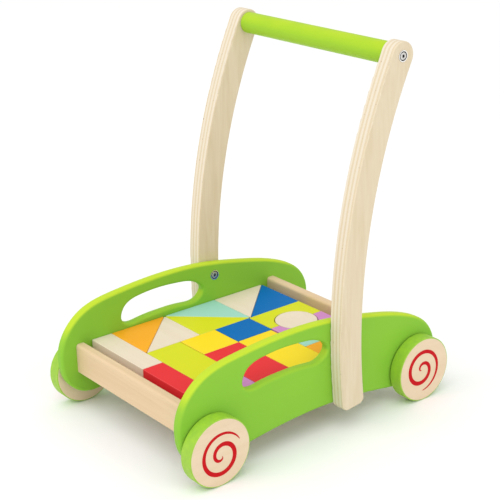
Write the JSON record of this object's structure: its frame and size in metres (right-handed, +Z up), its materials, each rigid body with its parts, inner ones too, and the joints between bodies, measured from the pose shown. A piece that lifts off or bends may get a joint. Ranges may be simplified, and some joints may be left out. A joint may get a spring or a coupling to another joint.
{
  "type": "block walker",
  "caption": "Wooden push walker: painted side panels and plain boards form a wheeled tray of loose building blocks, with bent plywood uprights and a push bar.",
  "frame": {"origin": "on the floor, under the centre of the walker's overall box", "axes": "+Z up, -Y the leading end (front board), +X the left-hand side"},
  "size_m": [0.329, 0.445, 0.5095],
  "materials": {
    "panel_paint": "green water-based paint on solid wood, satin",
    "handle_paint": "green water-based paint on a wooden dowel, satin",
    "board_wood": "solid light wood, clear matt lacquer",
    "plywood": "birch plywood, clear matt lacquer, plies seen on the edges",
    "wheel_wood": "turned light wood, clear matt lacquer",
    "tyre_rubber": "green rubber band, matt",
    "bolt_steel": "nickel-plated steel",
    "axle_steel": "zinc-plated steel rod",
    "insert_steel": "zinc-plated steel",
    "bush_nylon": "white nylon",
    "block_natural": "clear lacquer on light wood",
    "block_orange": "orange water-based paint on wood, satin",
    "block_lime": "lime water-based paint on wood, satin",
    "block_mint": "mint water-based paint on wood, satin",
    "block_blue": "blue water-based paint on wood, satin",
    "block_violet": "violet water-based paint on wood, satin",
    "block_yellow": "yellow water-based paint on wood, satin",
    "block_red": "red water-based paint on wood, satin"
  },
  "bodies": {
    "chassis": {"side_panel_left": "panel_paint", "side_panel_right": "panel_paint", "front_board": "board_wood", "rear_board": "board_wood", "tray_base": "plywood", "board_dowels": "board_wood", "upright_left": "plywood", "upright_right": "plywood", "handle_bar": "handle_paint", "handle_bolts": "bolt_steel", "handle_bolt_washers": "bolt_steel", "handle_inserts": "insert_steel", "upright_bolts": "bolt_steel", "upright_bolt_washers": "bolt_steel", "upright_inserts": "insert_steel", "axle_bushes": "bush_nylon"},
    "front_wheels": {"front_axle": "axle_steel", "wheel_front_left": "wheel_wood", "wheel_front_right": "wheel_wood", "tyre_front_left": "tyre_rubber", "tyre_front_right": "tyre_rubber"},
    "rear_wheels": {"rear_axle": "axle_steel", "wheel_rear_left": "wheel_wood", "wheel_rear_right": "wheel_wood", "tyre_rear_left": "tyre_rubber", "tyre_rear_right": "tyre_rubber"},
    "block_natural_plank_loose": {"block_natural_plank": "block_natural"},
    "block_red_plank_loose": {"block_red_plank": "block_red"},
    "block_orange_triangle_loose": {"block_orange_triangle": "block_orange"},
    "block_natural_triangle_front_loose": {"block_natural_triangle_front": "block_natural"},
    "block_lime_triangle_loose": {"block_lime_triangle": "block_lime"},
    "block_mint_triangle_loose": {"block_mint_triangle": "block_mint"},
    "block_natural_triangle_rear_loose": {"block_natural_triangle_rear": "block_natural"},
    "block_blue_triangle_loose": {"block_blue_triangle": "block_blue"},
    "block_lime_rectangle_loose": {"block_lime_rectangle": "block_lime"},
    "block_violet_square_loose": {"block_violet_square": "block_violet"},
    "block_yellow_square_loose": {"block_yellow_square": "block_yellow"},
    "block_red_rectangle_loose": {"block_red_rectangle": "block_red"},
    "block_blue_square_loose": {"block_blue_square": "block_blue"},
    "block_yellow_rectangle_loose": {"block_yellow_rectangle": "block_yellow"},
    "block_lime_arch_loose": {"block_lime_arch": "block_lime"},
    "block_violet_arch_loose": {"block_violet_arch": "block_violet"},
    "block_mint_strip_loose": {"block_mint_strip": "block_mint"},
    "block_orange_rectangle_loose": {"block_orange_rectangle": "block_orange"},
    "block_natural_cylinder_loose": {"block_natural_cylinder": "block_natural"}
  },
  "joints": [
    {"name": "front_wheels_turn", "type": "hinge", "parent": "chassis", "child": "front_wheels", "pos_m": [0, -0.1765, 0.046], "axis": [1, 0, 0], "continuous": true},
    {"name": "rear_wheels_turn", "type": "hinge", "parent": "chassis", "child": "rear_wheels", "pos_m": [0, 0.1765, 0.046], "axis": [1, 0, 0], "continuous": true},
    {"name": "block_natural_plank_lift", "type": "slide", "parent": "chassis", "child": "block_natural_plank_loose", "axis": [0, 0, 1], "range_m": [0, 0.1]},
    {"name": "block_red_plank_lift", "type": "slide", "parent": "chassis", "child": "block_red_plank_loose", "axis": [0, 0, 1], "range_m": [0, 0.1]},
    {"name": "block_orange_triangle_lift", "type": "slide", "parent": "chassis", "child": "block_orange_triangle_loose", "axis": [0, 0, 1], "range_m": [0, 0.1]},
    {"name": "block_natural_triangle_front_lift", "type": "slide", "parent": "chassis", "child": "block_natural_triangle_front_loose", "axis": [0, 0, 1], "range_m": [0, 0.1]},
    {"name": "block_lime_triangle_lift", "type": "slide", "parent": "chassis", "child": "block_lime_triangle_loose", "axis": [0, 0, 1], "range_m": [0, 0.1]},
    {"name": "block_mint_triangle_lift", "type": "slide", "parent": "chassis", "child": "block_mint_triangle_loose", "axis": [0, 0, 1], "range_m": [0, 0.1]},
    {"name": "block_natural_triangle_rear_lift", "type": "slide", "parent": "chassis", "child": "block_natural_triangle_rear_loose", "axis": [0, 0, 1], "range_m": [0, 0.1]},
    {"name": "block_blue_triangle_lift", "type": "slide", "parent": "chassis", "child": "block_blue_triangle_loose", "axis": [0, 0, 1], "range_m": [0, 0.1]},
    {"name": "block_lime_rectangle_lift", "type": "slide", "parent": "chassis", "child": "block_lime_rectangle_loose", "axis": [0, 0, 1], "range_m": [0, 0.1]},
    {"name": "block_violet_square_lift", "type": "slide", "parent": "chassis", "child": "block_violet_square_loose", "axis": [0, 0, 1], "range_m": [0, 0.1]},
    {"name": "block_yellow_square_lift", "type": "slide", "parent": "chassis", "child": "block_yellow_square_loose", "axis": [0, 0, 1], "range_m": [0, 0.1]},
    {"name": "block_red_rectangle_lift", "type": "slide", "parent": "chassis", "child": "block_red_rectangle_loose", "axis": [0, 0, 1], "range_m": [0, 0.1]},
    {"name": "block_blue_square_lift", "type": "slide", "parent": "chassis", "child": "block_blue_square_loose", "axis": [0, 0, 1], "range_m": [0, 0.1]},
    {"name": "block_yellow_rectangle_lift", "type": "slide", "parent": "chassis", "child": "block_yellow_rectangle_loose", "axis": [0, 0, 1], "range_m": [0, 0.1]},
    {"name": "block_lime_arch_lift", "type": "slide", "parent": "chassis", "child": "block_lime_arch_loose", "axis": [0, 0, 1], "range_m": [0, 0.1]},
    {"name": "block_violet_arch_lift", "type": "slide", "parent": "chassis", "child": "block_violet_arch_loose", "axis": [0, 0, 1], "range_m": [0, 0.1]},
    {"name": "block_mint_strip_lift", "type": "slide", "parent": "chassis", "child": "block_mint_strip_loose", "axis": [0, 0, 1], "range_m": [0, 0.1]},
    {"name": "block_orange_rectangle_lift", "type": "slide", "parent": "chassis", "child": "block_orange_rectangle_loose", "axis": [0, 0, 1], "range_m": [0, 0.1]},
    {"name": "block_natural_cylinder_lift", "type": "slide", "parent": "chassis", "child": "block_natural_cylinder_loose", "axis": [0, 0, 1], "range_m": [0, 0.1]}
  ]
}
